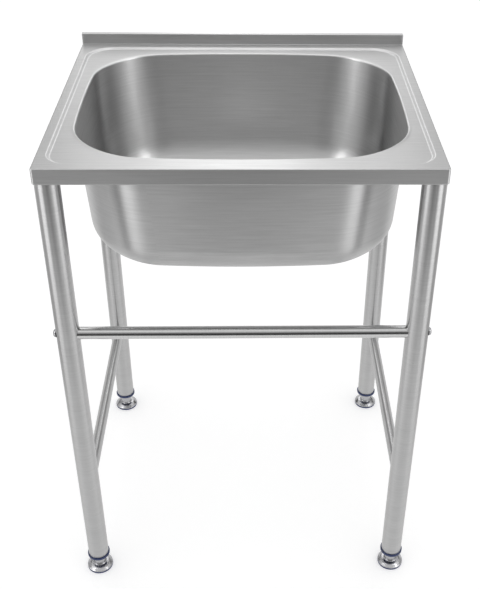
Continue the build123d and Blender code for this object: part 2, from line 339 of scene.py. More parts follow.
def rounded_ring(half, front, rear, corner_front, corner_rear):
    """Plan points of a rounded rectangle, from the left end of its front round to the right."""
    ring = []
    sides = [
        ((half - corner_front, front + corner_front), corner_front, -pi / 2, LONG_STEPS),
        ((half - corner_rear, rear - corner_rear), corner_rear, 0, SHORT_STEPS),
        ((corner_rear - half, rear - corner_rear), corner_rear, pi / 2, LONG_STEPS),
        ((corner_front - half, front + corner_front), corner_front, pi, SHORT_STEPS),
    ]
    for index, (centre, radius, angle, steps) in enumerate(sides):
        before, r, _, _ = sides[index - 1]
        start = Vector((before[0] + r * cos(angle), before[1] + r * sin(angle)))
        end = Vector((centre[0] + radius * cos(angle), centre[1] + radius * sin(angle)))
        ring += [start.lerp(end, t) for t in spread(0, 1, steps)]
        turns = spread(angle, angle + pi / 2, CORNER_STEPS)
        ring += [Vector((centre[0] + radius * cos(a), centre[1] + radius * sin(a))) for a in turns]
    return ring


def square_ring(half, front, rear, reach_front, reach_rear):
    """The same points on a rectangle with sharp corners, where each corner takes up its reach."""
    ring = rounded_ring(half, front, rear, reach_front, reach_rear)
    corners = [
        (Vector((half, front)), LONG_STEPS),
        (Vector((half, rear)), SHORT_STEPS),
        (Vector((-half, rear)), LONG_STEPS),
        (Vector((-half, front)), SHORT_STEPS),
    ]
    index = 0
    for corner, steps in corners:
        index += steps
        start = ring[index].copy()
        end = ring[(index + CORNER_STEPS) % len(ring)].copy()
        for k in range(CORNER_STEPS):
            share = 2 * k / CORNER_STEPS
            if share <= 1:
                ring[index + k] = start.lerp(corner, share)
            else:
                ring[index + k] = corner.lerp(end, share - 1)
        index += CORNER_STEPS
    return ring


def bowl_ring(inset, corner):
    """The bowl's outline at one level, whose four sides swell outwards."""
    half = half_width - LEDGE_SIDE - inset
    front = front_edge + LEDGE_FRONT + inset
    rear = rear_edge - LEDGE_REAR - inset
    middle = (front + rear) / 2
    half_breadth = (rear - front) / 2
    ring = []
    for x, y in rounded_ring(half, front, rear, corner, corner):
        along = x / half
        across = (y - middle) / half_breadth
        swollen = x - BOWL_BOW_SHORT * across**2 * along
        ring.append(Vector((swollen, y - BOWL_BOW_LONG * along**2 * across)))
    return ring


def outward(ring):
    """Unit plan normals that point out of a ring."""
    normals = []
    for i, point in enumerate(ring):
        along = (ring[(i + 1) % len(ring)] - ring[i - 1]).normalized()
        normals.append(Vector((along.y, -along.x)))
    return normals


def blended(inner, outer, share):
    """A ring part of the way from one to another."""
    return [a.lerp(b, share) for a, b in zip(inner, outer)]


def arc(centre, radius, start, end, steps):
    """Points of an arc in a section, both ends included."""
    return [
        (centre[0] + radius * cos(a), centre[1] + radius * sin(a))
        for a in spread(start, end, steps) + [end]
    ]


# The bowl is ruled between the outlines of its mouth and its foot. Each column of its mesh leans
# in by its own angle, from the rounded rim down to the rounded knuckle round the floor.
bowl_floor = pan - BOWL_DEPTH
mouth = bowl_ring(0, BOWL_CORNER)
foot = bowl_ring(BOWL_LEAN, BOWL_FOOT_CORNER)
mouth_out = outward(mouth)
foot_out = outward(foot)
leans = [atan((m - f).dot(n) / BOWL_DEPTH) for m, f, n in zip(mouth, foot, foot_out)]
bowl_centre = Vector((0, (front_edge + LEDGE_FRONT + rear_edge - LEDGE_REAR) / 2))


def wall_point(i, rise, inset=0.0):
    """The point of column i at a height above the foot, moved in from the wall's line."""
    share = rise / BOWL_DEPTH
    way = foot_out[i].lerp(mouth_out[i], share).normalized()
    place = foot[i].lerp(mouth[i], share) - way * inset
    return Vector((place.x, place.y, bowl_floor + rise))


def knuckle_point(i, share):
    """A point of the knuckle, from the floor at share 0 to the wall at share 1."""
    lean = leans[i]
    angle = -pi / 2 + (pi / 2 - lean) * share
    rise = KNUCKLE * (1 + sin(angle))
    reach = KNUCKLE * cos(angle) - KNUCKLE * tan((pi / 2 - lean) / 2)
    return wall_point(i, rise, rise * tan(lean) - reach)


def rim_point(i, share):
    """A point of the rim, from the wall at share 0 to the deck at share 1."""
    lean = leans[i]
    angle = pi - lean - (pi / 2 - lean) * share
    reach = RIM * cos(angle) + RIM * tan((pi / 2 - lean) / 2)
    place = mouth[i] + mouth_out[i] * reach
    return Vector((place.x, place.y, pan - RIM + RIM * sin(angle)))


def circle_ring(radius, guide):
    """A circle round the outlet, with its points in the directions of the guide ring's."""
    ring = []
    for point in guide:
        angle = atan2(point.y - bowl_centre.y, point.x - bowl_centre.x)
        ring.append(bowl_centre + Vector((radius * cos(angle), radius * sin(angle))))
    return ring


def step_ring(inset):
    """The plan of the pressed step, moved in by an inset."""
    return rounded_ring(
        half_width - BORDER_SIDE - inset,
        front_edge + BORDER_FRONT + inset,
        rear_edge - BORDER_REAR - inset,
        STEP_CORNER_FRONT - inset,
        STEP_CORNER_REAR - inset,
    )


def at_height(ring, height):
    """A flat ring as points in space."""
    return [Vector((p.x, p.y, height)) for p in ring]


# Rings from the outlet outwards, each with whether the brushing runs round it.
rings = []
columns = len(mouth)
floor_edge = [knuckle_point(i, 0).xy for i in range(columns)]
seat_floor = bowl_floor - FALL_DROP - SEAT_DROP
fall_foot = bowl_floor - FALL_DROP
for radius, height in (
    (OUTLET_RADIUS, seat_floor),
    (OUTLET_RADIUS + OUTLET_LAND, seat_floor),
    (SEAT_RADIUS - SEAT_EASE, seat_floor),
    (SEAT_RADIUS, seat_floor + SEAT_EASE_RISE),
    (SEAT_RADIUS + SEAT_SLOPE - SEAT_EASE_INSIDE, fall_foot - SEAT_EASE_RISE),
    (SEAT_RADIUS + SEAT_SLOPE + SEAT_EASE, fall_foot),
    (FALL_MIDDLE, fall_foot + FALL_DROP * FALL_MIDDLE_SHARE),
    (FALL_RADIUS - FALL_EASE, bowl_floor - FALL_EASE_DROP),
    (FALL_RADIUS, bowl_floor - FALL_EDGE_DROP),
    (FALL_RADIUS + FALL_EASE, bowl_floor),
):
    rings.append((at_height(circle_ring(radius, floor_edge), height), False))
last_circle = circle_ring(FALL_RADIUS + FALL_EASE, floor_edge)
rings.append((at_height(blended(last_circle, floor_edge, 0.5), bowl_floor), False))
for step in range(KNUCKLE_STEPS + 1):
    rings.append(([knuckle_point(i, step / KNUCKLE_STEPS) for i in range(columns)], True))
for step in range(1, WALL_STEPS):
    ring = []
    for i in range(columns):
        low = KNUCKLE * (1 - sin(leans[i]))
        high = BOWL_DEPTH - RIM * (1 - sin(leans[i]))
        ring.append(wall_point(i, low + (high - low) * step / WALL_STEPS))
    rings.append((ring, True))
for step in range(RIM_STEPS + 1):
    rings.append(([rim_point(i, step / RIM_STEPS) for i in range(columns)], True))

# From the rim over the pan to the step, up its slope between two bends, and over the border to the
# folds. Loops close to each bend keep its shading off the flats.
PAN_LOOPS = (0.08, 0.5, 0.92)
BORDER_LOOPS = (0.15, 0.9, 1)
slope = atan(STEP_DROP / STEP_RUN)
bend_run = STEP_BEND * tan(slope / 2)
lower_middle = (STEP_RUN + bend_run, pan + STEP_BEND)
upper_middle = (-bend_run, deck - STEP_BEND)
lower_bend = arc(lower_middle, STEP_BEND, -pi / 2, -pi / 2 - slope, BEND_STEPS)
upper_bend = arc(upper_middle, STEP_BEND, pi / 2 - slope, pi / 2, BEND_STEPS)
rim_edge = rings[-1][0]
step_foot = at_height(step_ring(lower_bend[0][0]), pan)
for share in PAN_LOOPS:
    rings.append((blended(rim_edge, step_foot, share), False))
for inset, height in lower_bend + upper_bend:
    rings.append((at_height(step_ring(inset), height), False))

# The deck's edge at the folds: its front corners turn tightly, and its rear ones are square.
TURN_START = 8
TURN_STEPS = CORNER_STEPS - 2 * TURN_START
edge_half = half_width - EDGE_FOLD
edge_front = front_edge + EDGE_FOLD
edge_rear = upstand_front - UPSTAND_ROOT
turn_radius = APRON_CORNER - EDGE_FOLD
edge = square_ring(
    edge_half,
    edge_front,
    edge_rear,
    STEP_CORNER_FRONT + BORDER_SIDE,
    STEP_CORNER_REAR + BORDER_SIDE,
)
turns = (
    (LONG_STEPS, Vector((edge_half - turn_radius, edge_front + turn_radius)), -pi / 2),
    (len(edge) - CORNER_STEPS, Vector((turn_radius - edge_half, edge_front + turn_radius)), pi),
)
for first, centre, angle in turns:
    start = edge[first].copy()
    end = edge[(first + CORNER_STEPS) % len(edge)].copy()
    turned = [
        centre + turn_radius * Vector((cos(angle + a), sin(angle + a)))
        for a in spread(0, pi / 2, TURN_STEPS) + [pi / 2]
    ]
    for k in range(TURN_START):
        edge[first + k] = start.lerp(turned[0], k / TURN_START)
        edge[first + TURN_START + TURN_STEPS + k] = turned[-1].lerp(end, k / TURN_START)
    for k in range(TURN_STEPS):
        edge[first + TURN_START + k] = turned[k]
step_head = rings[-1][0]
for share in BORDER_LOOPS:
    rings.append((blended(step_head, at_height(edge, deck), share), False))

around = [0.0]
for i in range(columns):
    around.append(around[-1] + (mouth[(i + 1) % columns] - mouth[i]).length)

shell = bmesh.new()
grain = shell.loops.layers.uv.new("grain")
loops = [[shell.verts.new(point) for point in ring] for ring, _ in rings]
climb = 0.0
for lower in range(len(rings) - 1):
    upper = lower + 1
    rise = (rings[upper][0][0] - rings[lower][0][0]).length
    inner, outer = loops[lower], loops[upper]
    for i in range(columns):
        j = (i + 1) % columns
        face = shell.faces.new((inner[i], outer[i], outer[j], inner[j]))
        face.normal_update()
        if rings[lower][1]:
            corners_uv = ((i, 0), (i, 1), (i + 1, 1), (i + 1, 0))
            for loop, (column, side) in zip(face.loops, corners_uv):
                loop[grain].uv = (around[column], climb + side * rise)
            face.material_index = 1
    climb += rise

# The upstand's section, from its root on the deck, up, over and down the back, with the way each
# point faces.
lip_top = apron_bottom + LIP
upstand_top = deck + UPSTAND_HEIGHT
upstand_section = [
    (edge_rear + UPSTAND_ROOT * sin(a), deck + UPSTAND_ROOT * (1 - cos(a)), -sin(a), cos(a))
    for a in spread(0, pi / 2, FOLD_STEPS) + [pi / 2]
]
for centre_y, start in ((upstand_front + UPSTAND_FOLD, pi), (rear_edge - UPSTAND_FOLD, pi / 2)):
    upstand_section += [
        (
            centre_y + UPSTAND_FOLD * cos(a),
            upstand_top - UPSTAND_FOLD + UPSTAND_FOLD * sin(a),
            cos(a),
            sin(a),
        )
        for a in spread(start, start - pi / 2, FOLD_STEPS) + [start - pi / 2]
    ]
upstand_section.append((rear_edge, deck, 1, 0))
upstand_section.append((rear_edge, lip_top, 1, 0))

rear_right = LONG_STEPS + CORNER_STEPS + SHORT_STEPS + CORNER_STEPS // 2
rear_left = rear_right + LONG_STEPS + CORNER_STEPS
upstand_rows = [loops[-1][rear_right : rear_left + 1]]
for y, z, _, _ in upstand_section[1:]:
    upstand_rows.append([shell.verts.new((v.co.x, y, z)) for v in upstand_rows[0]])


def strips(rows):
    """Faces between each two neighbouring rows of points."""
    for upper, lower in zip(rows, rows[1:]):
        for i in range(len(upper) - 1):
            shell.faces.new((upper[i], lower[i], lower[i + 1], upper[i + 1]))


strips(upstand_rows)

# The rounded fold round the deck's edge and up round each end of the upstand: each point of the
# flat sheet it starts from, the way out to the edge, and the way the sheet faces.
chain = []
for (y, z, n_y, n_z), row in list(zip(upstand_section, upstand_rows))[:0:-1]:
    chain.append((row[-1], Vector((-1, 0, 0)), Vector((0, n_y, n_z))))
for i in range(rear_left, rear_right + columns + 1):
    vertex = loops[-1][i % columns]
    core_x = max(turn_radius - edge_half, min(edge_half - turn_radius, vertex.co.x))
    core_y = max(edge_front + turn_radius, vertex.co.y)
    way = Vector((vertex.co.x - core_x, vertex.co.y - core_y, 0)).normalized()
    chain.append((vertex, way, Vector((0, 0, 1))))
for (y, z, n_y, n_z), row in list(zip(upstand_section, upstand_rows))[1:]:
    chain.append((row[0], Vector((1, 0, 0)), Vector((0, n_y, n_z))))
fold_rows = [[vertex for vertex, _, _ in chain]]
for a in spread(0, pi / 2, FOLD_STEPS)[1:] + [pi / 2]:
    fold_rows.append(
        [
            shell.verts.new(v.co + EDGE_FOLD * (way * sin(a) - face * (1 - cos(a))))
            for v, way, face in chain
        ]
    )
strips(fold_rows)

# The apron, the closed ends of the upstand, and the rounded lip along the bottom.
end_points = len(upstand_section) - 1
brink = fold_rows[-1]
apron_head = brink[end_points : len(chain) - end_points]
apron_foot = [shell.verts.new((v.co.x, v.co.y, lip_top)) for v in apron_head]
strips([apron_head, apron_foot])
shell.faces.new([apron_foot[0]] + brink[end_points::-1])
shell.faces.new([apron_foot[-1]] + brink[len(chain) - end_points - 1 :])

outline = [
    (v, way) for v, (_, way, _) in zip(apron_foot, chain[end_points : len(chain) - end_points])
]
right_turn = [row[-1] for row in fold_rows[::-1]]
left_turn = [row[0] for row in fold_rows]
turn_angles = spread(0, pi / 2, FOLD_STEPS) + [pi / 2]
outline += [(v, Vector((cos(a), sin(a), 0))) for v, a in zip(right_turn, turn_angles)]
outline += [(v, Vector((0, 1, 0))) for v in upstand_rows[-1][1:-1]]
outline += [(v, Vector((-sin(a), cos(a), 0))) for v, a in zip(left_turn, turn_angles)]
lip_rows = [[v for v, _ in outline]]
for a in spread(0, pi / 2, BEND_STEPS)[1:] + [pi / 2]:
    lip_rows.append(
        [
            shell.verts.new(v.co - LIP * (way * (1 - cos(a)) + Vector((0, 0, sin(a)))))
            for v, way in outline
        ]
    )
strips([row + row[:1] for row in lip_rows])
bmesh.ops.recalc_face_normals(shell, faces=shell.faces)
if sum(f.normal.z * f.calc_area() for f in shell.faces) < 0:
    bmesh.ops.reverse_faces(shell, faces=shell.faces)

# The hem: along each side the sheet is folded back under, clear of the corners.
for x0, x1, y0, y1 in (
    (-HEM_HALF, HEM_HALF, front_edge + LIP, front_edge + HEM),
    (-HEM_HALF, HEM_HALF, rear_edge - HEM, rear_edge - LIP),
    (-half_width + LIP, -half_width + HEM, HEM_FRONT, HEM_REAR),
    (half_width - HEM, half_width - LIP, HEM_FRONT, HEM_REAR),
):
    corners_down = [(x0, y0), (x0, y1), (x1, y1), (x1, y0)]
    shell.faces.new([shell.verts.new((x, y, apron_bottom)) for x, y in corners_down])
shell.normal_update()

# Flat sheet is brushed along its length: the grain runs along X, and along Y on the side aprons.
for face in shell.faces:
    if face.material_index == 1:
        continue
    n = face.normal
    for loop in face.loops:
        x, y, z = loop.vert.co
        if abs(n.x) > max(abs(n.y), abs(n.z)):
            loop[grain].uv = (y, z)
        elif abs(n.y) > abs(n.z):
            loop[grain].uv = (x, z)
        else:
            loop[grain].uv = (x, y)
for face in shell.faces:
    face.smooth = True
    face.material_index = 0

# The shell is the upper and outer face of the sheet. Solidify adds its thickness behind that.
top_mesh = bpy.data.meshes.new("pressed_top")
shell.to_mesh(top_mesh)
shell.free()
top = bpy.data.objects.new("pressed_top", top_mesh)
scene.collection.objects.link(top)
thickness = top.modifiers.new("sheet", "SOLIDIFY")
thickness.thickness = SHEET
thickness.offset = -1
thickness.use_even_offset = True
thickness.use_quality_normals = True
weighting = top.modifiers.new("flat_faces", "WEIGHTED_NORMAL")
weighting.keep_sharp = True


# Stainless steel 1.4301, satin brushed with a fine belt. Its grain draws each reflection out
# across it, and its lines show as faint changes of tone and gloss. A real belt leaves them about
# 0.05 mm apart, too fine to show, so they are drawn coarser here: line_mm is their width. Lengths
# are in millimetres. Noise lies mostly between NOISE_LOW and NOISE_HIGH.
SHEET_LINE_LENGTH = 110
TUBE_LINE_LENGTH = 60
NOISE_LOW = 0.3
NOISE_HIGH = 0.7


def brushed_steel(name, code, roughness, pull, line_mm, around="grain"):
    """Brushed stainless steel. The grain runs along U of the map "grain", or around an axis."""
    material, tree = new_material(name)
    if around == "grain":
        place = add_node(tree, "ShaderNodeUVMap", {"uv_map": "grain"}).outputs[0]
        stretch = (1 / SHEET_LINE_LENGTH / MM, 1 / line_mm / MM, 1)
        direction = {"direction_type": "UV_MAP", "uv_map": "grain"}
    else:
        place = add_node(tree, "ShaderNodeTexCoord").outputs["Object"]
        stretch = [1 / (line_mm if axis == around else TUBE_LINE_LENGTH) / MM for axis in "XYZ"]
        direction = {"direction_type": "RADIAL", "axis": around}
    tangent = add_node(tree, "ShaderNodeTangent", direction)
    mapping = add_node(
        tree, "ShaderNodeMapping", links={"Vector": place}, values={"Scale": stretch}
    )
    lines = add_node(
        tree,
        "ShaderNodeTexNoise",
        links={"Vector": mapping.outputs[0]},
        values={"Scale": 1.0, "Detail": 5.0, "Roughness": 0.75},
    )
    tone = add_node(
        tree,
        "ShaderNodeMapRange",
        links={"Value": lines.outputs[0]},
        values={"From Min": NOISE_LOW, "From Max": NOISE_HIGH, "To Min": 0.9, "To Max": 1.05},
    )
    colour = add_node(
        tree,
        "ShaderNodeVectorMath",
        {"operation": "SCALE"},
        links={"Scale": tone.outputs[0]},
        values={0: linear(code)[:3]},
    )
    rough = add_node(
        tree,
        "ShaderNodeMapRange",
        links={"Value": lines.outputs[0]},
        values={
            "From Min": NOISE_LOW,
            "From Max": NOISE_HIGH,
            "To Min": roughness * 1.12,
            "To Max": roughness * 0.9,
        },
    )
    # A quarter turn lays the blur across the lines.
    steel = add_node(
        tree,
        "ShaderNodeBsdfPrincipled",
        links={
            "Base Color": colour.outputs[0],
            "Roughness": rough.outputs[0],
            "Tangent": tangent.outputs[0],
        },
        values={"Metallic": 1.0, "Anisotropic": pull, "Anisotropic Rotation": 0.25},
    )
    add_node(tree, "ShaderNodeOutputMaterial", links={"Surface": steel.outputs[0]})
    return material


# The sheet's long grain blurs what it mirrors into soft bands across the brushing.
sheet_steel = brushed_steel("brushed_stainless_sheet", "#BFBFBF", 0.36, 0.85, 3.5)
top_mesh.materials.append(sheet_steel)
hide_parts("sink_top")
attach(top, "stand")


# ------------------------------------------------------------------ legs
# Four legs of 38.1 mm stainless tube, rolled from strip and seam welded. They were polished on a
# belt while they turned, so their fine lines run round the tube.
def dress(names, material):
    """Gives CAD nodes one material."""
    for name in names:
        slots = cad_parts[name].data.materials
        slots.clear()
        slots.append(material)


# Satin tube: light runs down it in broad soft stripes, with faint rings across them.
corners = [(row, side) for row in ("front", "rear") for side in ("left", "right")]
tube_steel = brushed_steel("satin_stainless_tube", "#B5B5B5", 0.3, 0.8, 1.5, "Z")
dress([f"leg_{row}_{side}" for row, side in corners], tube_steel)


# ------------------------------------------------------------------ side rails
# A low rail of 21 mm stainless tube joins the front and the rear leg of each side. It is saddle cut
# and welded all round at both ends, with the small ripples of a weld laid by hand.
RIPPLE_SHARE = 0.12
BEAD_RADIUS = 1.1 * MM
BEAD_RIPPLES = 30
BEAD_STEPS = 180
BEAD_SIDES = 8

# The same satin as the legs', with the lines round the rail.
side_rail_steel = brushed_steel("satin_stainless_side_rail", "#B5B5B5", 0.3, 0.8, 1.5, "Y")
dress(["side_rail_left", "side_rail_right"], side_rail_steel)


def new_geometry(name, inputs):
    """A Geometry Nodes tree with named inputs, its input node and its output node."""
    tree = bpy.data.node_groups.new(name, "GeometryNodeTree")
    tree.interface.new_socket("Geometry", in_out="OUTPUT", socket_type="NodeSocketGeometry")
    for label, kind in inputs.items():
        tree.interface.new_socket(label, in_out="INPUT", socket_type=f"NodeSocket{kind}")
    return tree, add_node(tree, "NodeGroupInput"), add_node(tree, "NodeGroupOutput")


def finish_tree(tree, output, geometry, material):
    """Ends a tree in Realize Instances and Set Material."""
    real = add_node(tree, "GeometryNodeRealizeInstances", links={"Geometry": geometry})
    painted = add_node(
        tree,
        "GeometryNodeSetMaterial",
        links={"Geometry": real.outputs[0], "Material": material},
    )
    tree.links.new(painted.outputs[0], output.inputs[0])


def grown_mesh(name, tree, inputs):
    """An object with the plain mesh that a tree gives for these inputs."""
    seed = bpy.data.objects.new(name + "_seed", bpy.data.meshes.new(name + "_seed"))
    scene.collection.objects.link(seed)
    modifier = seed.modifiers.new("shape", "NODES")
    modifier.node_group = tree
    for item in tree.interface.items_tree:
        if item.in_out == "INPUT":
            modifier[item.identifier] = inputs[item.name]
    evaluated = seed.evaluated_get(bpy.context.evaluated_depsgraph_get())
    mesh = bpy.data.meshes.new_from_object(evaluated)
    mesh.name = name
    bpy.data.objects.remove(seed)
    mesh.shade_smooth()
    piece = bpy.data.objects.new(name, mesh)
    scene.collection.objects.link(piece)
    return piece


# The bead follows the seam where the rail's tube meets the leg's: a circle of the rail's radius,
# pushed out to the leg's surface at each point, and swept with a section that swells and shrinks.
bead_tree, given, result = new_geometry(
    "weld_bead",
    {
        "Leg Centre X": "Float",
        "Leg Centre Y": "Float",
        "Rail Height": "Float",
        "Direction": "Float",
        "Rail Radius": "Float",
        "Leg Radius": "Float",
        "Bead Radius": "Float",
        "Ripples": "Int",
        "Steps": "Int",
        "Material": "Material",
    },
)
ring = add_node(
    bead_tree,
    "GeometryNodeCurvePrimitiveCircle",
    links={"Resolution": given.outputs["Steps"], "Radius": given.outputs["Rail Radius"]},
)
spot = add_node(
    bead_tree,
    "ShaderNodeSeparateXYZ",
    links={0: add_node(bead_tree, "GeometryNodeInputPosition").outputs[0]},
)
leg_squared = add_node(
    bead_tree,
    "ShaderNodeMath",
    {"operation": "MULTIPLY"},
    {0: given.outputs["Leg Radius"], 1: given.outputs["Leg Radius"]},
)
across_squared = add_node(
    bead_tree,
    "ShaderNodeMath",
    {"operation": "MULTIPLY"},
    {0: spot.outputs["X"], 1: spot.outputs["X"]},
)
along_squared = add_node(
    bead_tree,
    "ShaderNodeMath",
    {"operation": "SUBTRACT"},
    {0: leg_squared.outputs[0], 1: across_squared.outputs[0]},
)
along = add_node(
    bead_tree, "ShaderNodeMath", {"operation": "SQRT"}, {0: along_squared.outputs[0]}
)
leg_axis = add_node(
    bead_tree,
    "ShaderNodeCombineXYZ",
    links={
        "X": given.outputs["Leg Centre X"],
        "Y": given.outputs["Leg Centre Y"],
        "Z": given.outputs["Rail Height"],
    },
)
toward_rail = add_node(
    bead_tree,
    "ShaderNodeMath",
    {"operation": "MULTIPLY"},
    {0: along.outputs[0], 1: given.outputs["Direction"]},
)
from_axis = add_node(
    bead_tree,
    "ShaderNodeCombineXYZ",
    links={"X": spot.outputs["X"], "Y": toward_rail.outputs[0], "Z": spot.outputs["Y"]},
)
seam = add_node(
    bead_tree,
    "ShaderNodeVectorMath",
    {"operation": "ADD"},
    {0: leg_axis.outputs[0], 1: from_axis.outputs[0]},
)
path = add_node(
    bead_tree,
    "GeometryNodeSetPosition",
    links={"Geometry": ring.outputs[0], "Position": seam.outputs[0]},
)
step_number = add_node(bead_tree, "GeometryNodeInputIndex")
turn_share = add_node(
    bead_tree,
    "ShaderNodeMath",
    {"operation": "DIVIDE"},
    {0: step_number.outputs[0], 1: given.outputs["Steps"]},
)
ripple_share = add_node(
    bead_tree,
    "ShaderNodeMath",
    {"operation": "MULTIPLY"},
    {0: turn_share.outputs[0], 1: given.outputs["Ripples"]},
)
phase = add_node(
    bead_tree,
    "ShaderNodeMath",
    {"operation": "MULTIPLY"},
    {0: ripple_share.outputs[0]},
    {1: 2 * pi},
)
wave = add_node(bead_tree, "ShaderNodeMath", {"operation": "SINE"}, {0: phase.outputs[0]})
swell = add_node(
    bead_tree,
    "ShaderNodeMath",
    {"operation": "MULTIPLY_ADD"},
    {0: wave.outputs[0]},
    {1: RIPPLE_SHARE, 2: 1.0},
)
rippled = add_node(
    bead_tree,
    "GeometryNodeSetCurveRadius",
    links={0: path.outputs[0], "Radius": swell.outputs[0]},
)
bead_section = add_node(
    bead_tree,
    "GeometryNodeCurvePrimitiveCircle",
    links={"Radius": given.outputs["Bead Radius"]},
    values={"Resolution": BEAD_SIDES},
)
bead = add_node(
    bead_tree,
    "GeometryNodeCurveToMesh",
    links={"Curve": rippled.outputs[0], "Profile Curve": bead_section.outputs[0]},
)
finish_tree(bead_tree, result, bead.outputs[0], given.outputs["Material"])

for row, side in corners:
    leg_low, leg_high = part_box(f"leg_{row}_{side}")
    rail_low, rail_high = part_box(f"side_rail_{side}")
    leg_centre = (leg_low + leg_high) / 2
    rail_centre = (rail_low + rail_high) / 2
    weld = grown_mesh(
        f"weld_{row}_{side}",
        bead_tree,
        {
            "Leg Centre X": leg_centre.x,
            "Leg Centre Y": leg_centre.y,
            "Rail Height": rail_centre.z,
            "Direction": 1.0 if row == "front" else -1.0,
            "Rail Radius": (rail_high.x - rail_low.x) / 2,
            "Leg Radius": (leg_high.x - leg_low.x) / 2,
            "Bead Radius": BEAD_RADIUS,
            "Ripples": BEAD_RIPPLES,
            "Steps": BEAD_STEPS,
            "Material": tube_steel,
        },
    )
    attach(weld, "stand")


# ------------------------------------------------------------------ cross rails
# Two rails of 21 mm stainless tube join the legs across the front and the back under the bowl.
# They are saddle cut and polished brighter than the legs, and are bolted, not welded. The polish
# gives narrow, nearly sharp stripes of light along the rail.
rail_steel = brushed_steel("polished_stainless_rail", "#C4C4C4", 0.15, 0.5, 0.8, "X")
dress(["front_rail", "rear_rail"], rail_steel)


# ------------------------------------------------------------------ bolts, screws and nuts
# A domed bolt runs through each leg at the cross rail into a threaded plug in the rail's end, and
# a small screw with a nut holds each leg on its socket. All are headed or turned stainless steel.
# Tumbled bolts are bright and even, with no grain. Turned plugs and nuts are duller.
bright_steel = brushed_steel("bright_stainless_bolt", "#A4A4A6", 0.22, 0.0, 4, "X")
plain_steel = brushed_steel("plain_rolled_steel", "#A9A9AA", 0.35, 0.0, 4, "Z")
dress(["rail_bolts", "leg_screws"], bright_steel)
dress(["rail_plugs", "leg_nuts"], plain_steel)


# ------------------------------------------------------------------ leg sockets
# Inside each corner of the apron sits a plate with a short tube welded on, over which the leg
# slides. Both are rolled stainless steel as it comes from the mill, a plain dull grey.
dress([f"leg_socket_{row}_{side}" for row, side in corners], plain_steel)


# ------------------------------------------------------------------ leg inserts
# A moulded navy polypropylene insert is pressed into the lower end of each leg. Its flange closes
# the tube and shows as a thin dark ring, and the screw foot runs in its boss.
MOULD_GRAIN = 0.5 * MM
MOULD_GRAIN_DEPTH = 0.02 * MM


# Polypropylene from a spark-eroded mould: a deep even colour with a soft silky shine.
def moulded_plastic(name, code, roughness):
    """Coloured polypropylene with the fine even grain of its mould."""
    material, tree = new_material(name)
    place = add_node(tree, "ShaderNodeTexCoord").outputs["Object"]
    grit = add_node(
        tree,
        "ShaderNodeTexNoise",
        links={"Vector": place},
        values={"Scale": 1 / MOULD_GRAIN, "Detail": 2.0},
    )
    bump = add_node(
        tree,
        "ShaderNodeBump",
        links={"Height": grit.outputs[0]},
        values={"Strength": 0.25, "Distance": MOULD_GRAIN_DEPTH},
    )
    body = add_node(
        tree,
        "ShaderNodeBsdfPrincipled",
        links={"Normal": bump.outputs[0]},
        values={"Base Color": linear(code), "Roughness": roughness, "IOR": 1.49},
    )
    add_node(tree, "ShaderNodeOutputMaterial", links={"Surface": body.outputs[0]})
    return material


navy = moulded_plastic("navy_polypropylene", "#1B2E5E", 0.38)
dress([f"foot_insert_{row}_{side}" for row, side in corners], navy)


# ------------------------------------------------------------------ screw feet
# Each foot is turned from one piece of steel and chromed: a domed bell, a neck and a rolled M12
# thread. A pad of navy polypropylene is pressed on under the bell, and its lip shows round it.
BELL_RADIUS = 24.3 * MM
BELL_BASE = 2.2 * MM
BELL_RIM = 5 * MM
BELL_EDGE = 0.9 * MM
BELL_BULGE = 0.22
BELL_HEIGHT = 10.5 * MM
NECK_RADIUS = 11.5 * MM
NECK_ROOT = 2 * MM
NECK_EDGE = 1 * MM
NECK_EDGE_MIDDLE = 0.3 * MM
NECK_TOP = 34.1 * MM

# The stem's core, with the thread's ridge round it.
THREAD_RADIUS = 6 * MM
THREAD_DEPTH = 0.9 * MM
THREAD_PITCH = 1.75 * MM
THREAD_TURN_STEPS = 28
THREAD_SIDES = 6
THREAD_START = 1.5 * MM
RIDGE_SINK = 0.1 * MM
STEM_POINT = 1 * MM
STEM_POINT_REACH = 0.8 * MM
STEM_TOP = 95.3 * MM

# The pad: the height and wall of its lip, its rounded edge, and the gaps it leaves to the bell.
PAD_LIP = 4.2 * MM
PAD_WALL = 0.8 * MM
PAD_EDGE = 0.5 * MM
PAD_GAP = 0.05 * MM
LIP_GAP = 0.1 * MM

TURNED_STEPS = 72
EDGE_STEPS = 5
CROWN_STEPS = 8
ROOT_STEPS = 6
SHARP_ANGLE = radians(35)
HAZE_SIZE = 9 * MM


# Satin chrome over turned steel: it mirrors its surroundings dark and light, slightly blurred, and
# all that shows of the cutter's lines is a faint uneven haze.
def chrome_plate(name, code, roughness):
    """Chrome plate with a haze of duller and glossier patches."""
    material, tree = new_material(name)
    place = add_node(tree, "ShaderNodeTexCoord").outputs["Object"]
    haze = add_node(
        tree,
        "ShaderNodeTexNoise",
        links={"Vector": place},
        values={"Scale": 1 / HAZE_SIZE, "Detail": 3.0},
    )
    rough = add_node(
        tree,
        "ShaderNodeMapRange",
        links={"Value": haze.outputs[0]},
        values={
            "From Min": NOISE_LOW,
            "From Max": NOISE_HIGH,
            "To Min": roughness * 0.7,
            "To Max": roughness * 1.5,
        },
    )
    plate = add_node(
        tree,
        "ShaderNodeBsdfPrincipled",
        links={"Roughness": rough.outputs[0]},
        values={"Base Color": linear(code), "Metallic": 1.0},
    )
    add_node(tree, "ShaderNodeOutputMaterial", links={"Surface": plate.outputs[0]})
    return material


chrome = chrome_plate("satin_chrome_plate", "#AEAEB0", 0.24)


